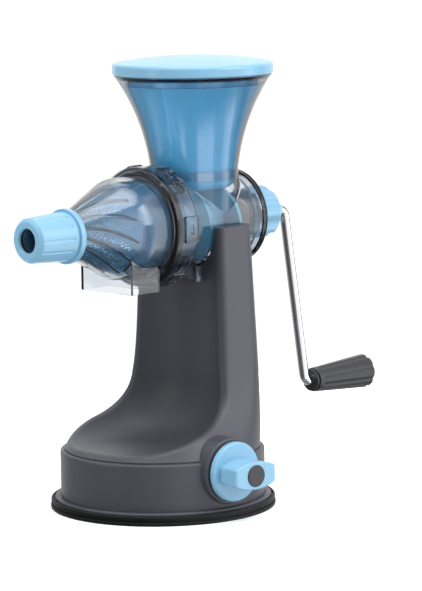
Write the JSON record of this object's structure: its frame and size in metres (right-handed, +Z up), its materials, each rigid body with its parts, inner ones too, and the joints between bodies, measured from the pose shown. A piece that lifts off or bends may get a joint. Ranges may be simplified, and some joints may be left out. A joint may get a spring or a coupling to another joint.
{
  "type": "manual wheatgrass juicer",
  "caption": "Hand cranked juicer with a suction base, upright column, feed hopper with lid and pusher, conical strainer head, juice chute and pulp nozzle.",
  "frame": {"origin": "centre of the base's underside, on the surface it stands on", "axes": "+Z up, -Y towards the pulp nozzle, +Y towards the crank, +X towards the suction knob"},
  "size_m": [0.1701, 0.3226, 0.2976],
  "materials": {
    "base_plastic": "fine satin moulding",
    "black_rubber": "matte",
    "blue_plastic": "gloss",
    "blue_inner": "gloss, tinted",
    "smoky_clear": "clear polycarbonate with a smoky tint",
    "grip_plastic": "satin",
    "chrome": "polished",
    "steel": "turned",
    "nylon": "natural"
  },
  "bodies": {
    "base": {"base_housing": "base_plastic", "base_ring": "black_rubber", "barrel_body": "smoky_clear", "barrel_screws": "steel", "hopper": "smoky_clear", "rear_cover": "smoky_clear", "rear_seal": "black_rubber", "shaft_bush": "nylon", "front_cover": "smoky_clear", "strainer": "smoky_clear", "cover_seal": "black_rubber", "nozzle_seal": "black_rubber"},
    "crank": {"auger": "blue_inner", "drive_shaft": "steel", "thrust_washer": "steel", "crank_hub": "blue_plastic", "crank_pin": "steel", "crank_rod": "chrome", "grip_retainer": "steel", "grip_collar": "grip_plastic"},
    "grip": {"grip": "grip_plastic", "grip_end_cap": "grip_plastic"},
    "knob": {"knob": "blue_plastic", "knob_screw": "steel", "knob_cap": "grip_plastic", "cam_spindle": "steel"},
    "suction": {"suction_pad": "black_rubber", "lift_yoke": "nylon"},
    "lid": {"lid": "blue_plastic", "pusher": "blue_inner"},
    "lock_ring": {"lock_ring": "smoky_clear"},
    "nozzle": {"nozzle_cap": "blue_plastic"}
  },
  "joints": [
    {"name": "crank_turn", "type": "hinge", "parent": "base", "child": "crank", "pos_m": [0, 0.07, 0.1877], "axis": [0, 1, 0], "continuous": true},
    {"name": "grip_spin", "type": "hinge", "parent": "crank", "child": "grip", "pos_m": [0, 0.17, 0.0652], "axis": [0, 1, 0], "continuous": true},
    {"name": "knob_turn", "type": "hinge", "parent": "base", "child": "knob", "pos_m": [0.05985, -0.00419, 0.0318], "axis": [0.9976, -0.0698, 0], "range_deg": [0, 90]},
    {"name": "pad_lift", "type": "slide", "parent": "base", "child": "suction", "axis": [0, 0, 1], "range_m": [0, 0.00566]},
    {"name": "lid_lift", "type": "slide", "parent": "base", "child": "lid", "axis": [0, 0, 1], "range_m": [0, 0.085]},
    {"name": "ring_turn", "type": "hinge", "parent": "base", "child": "lock_ring", "pos_m": [0, -0.012, 0.1877], "axis": [0, 1, 0], "range_deg": [0, 55]},
    {"name": "nozzle_turn", "type": "hinge", "parent": "base", "child": "nozzle", "pos_m": [0, -0.1, 0.1877], "axis": [0, 1, 0], "range_deg": [0, 360]}
  ],
  "couplings": [
    {"joint": "pad_lift", "follows": "knob_turn", "m_per_rad": 0.003601}
  ]
}
